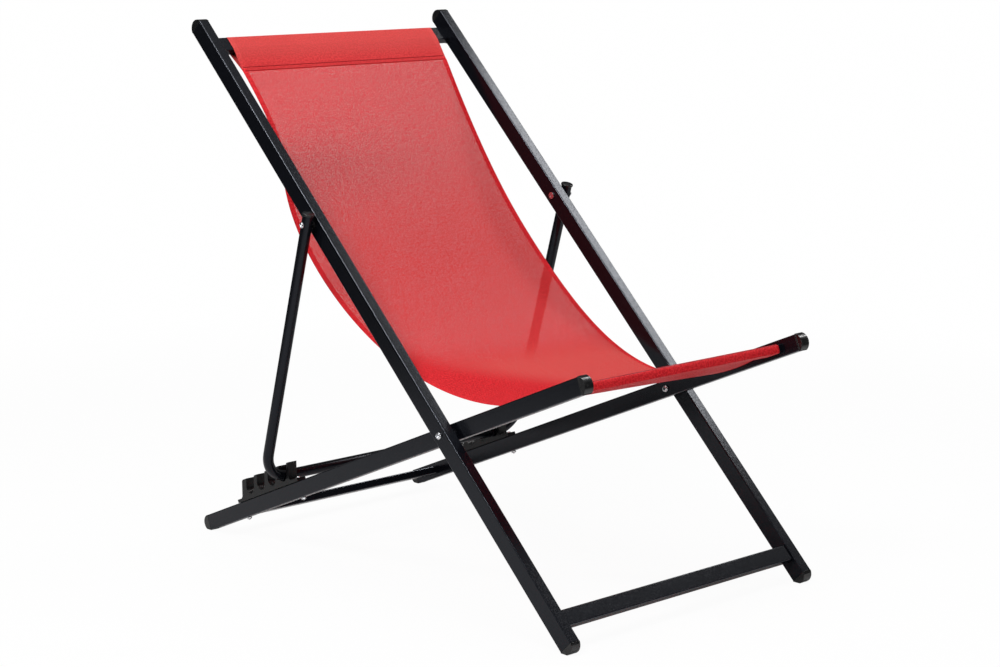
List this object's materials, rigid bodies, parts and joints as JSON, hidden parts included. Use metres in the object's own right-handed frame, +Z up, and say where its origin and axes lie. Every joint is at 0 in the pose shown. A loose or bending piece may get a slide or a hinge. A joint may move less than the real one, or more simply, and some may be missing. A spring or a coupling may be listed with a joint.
{
  "type": "folding sling deckchair",
  "caption": "Folding deckchair: crossed black tube frames, a notched prop that sets the recline and a red mesh sling as seat and back.",
  "frame": {"origin": "on the floor, in the middle of the chair's width and length", "axes": "+X to the sitter's left, +Y to the rear, +Z up; the sitter faces -Y"},
  "size_m": [0.633, 0.9885, 0.9318],
  "materials": {
    "black_coat": "satin",
    "black_plastic": "matte",
    "zinc_steel": "satin",
    "red_mesh": "matte"
  },
  "bodies": {
    "seat_frame": {"front_bar": "black_coat", "front_cap_left": "black_plastic", "front_cap_right": "black_plastic", "heel_cap_left": "black_plastic", "heel_cap_right": "black_plastic", "rack_left": "black_plastic", "rack_nut_front_left": "zinc_steel", "rack_nut_front_right": "zinc_steel", "rack_nut_rear_left": "zinc_steel", "rack_nut_rear_right": "zinc_steel", "rack_right": "black_plastic", "rack_screw_front_left": "zinc_steel", "rack_screw_front_right": "zinc_steel", "rack_screw_rear_left": "zinc_steel", "rack_screw_rear_right": "zinc_steel", "rear_bar": "black_coat", "seat_rail_left": "black_coat", "seat_rail_right": "black_coat"},
    "back_frame": {"back_cap_left": "black_plastic", "back_cap_right": "black_plastic", "back_rail_left": "black_coat", "back_rail_right": "black_coat", "cross_nut_left": "zinc_steel", "cross_nut_right": "zinc_steel", "cross_pin_left": "zinc_steel", "cross_pin_right": "zinc_steel", "cross_washer_left": "zinc_steel", "cross_washer_right": "zinc_steel", "foot_bar": "black_coat", "foot_cap_left": "black_plastic", "foot_cap_right": "black_plastic", "prop_bolt_left": "zinc_steel", "prop_bolt_right": "zinc_steel", "prop_nut_left": "zinc_steel", "prop_nut_right": "zinc_steel", "prop_spacer_left": "black_plastic", "prop_spacer_right": "black_plastic", "sling": "red_mesh", "top_bar": "black_coat"},
    "prop": {"prop_cap_left": "black_plastic", "prop_cap_right": "black_plastic", "prop_tube": "black_coat"}
  },
  "joints": [
    {"name": "frame_fold", "type": "hinge", "parent": "seat_frame", "child": "back_frame", "pos_m": [0, -0.19027, 0.29773], "axis": [1, 0, 0], "range_deg": [0, 109], "deforming": ["sling"]},
    {"name": "prop_swing", "type": "hinge", "parent": "back_frame", "child": "prop", "pos_m": [0, 0.12373, 0.60738], "axis": [1, 0, 0], "range_deg": [-39.3, 0]}
  ],
  "couplings": [
    {"joint": "prop_swing", "follows": "frame_fold", "ratio": -0.36}
  ]
}
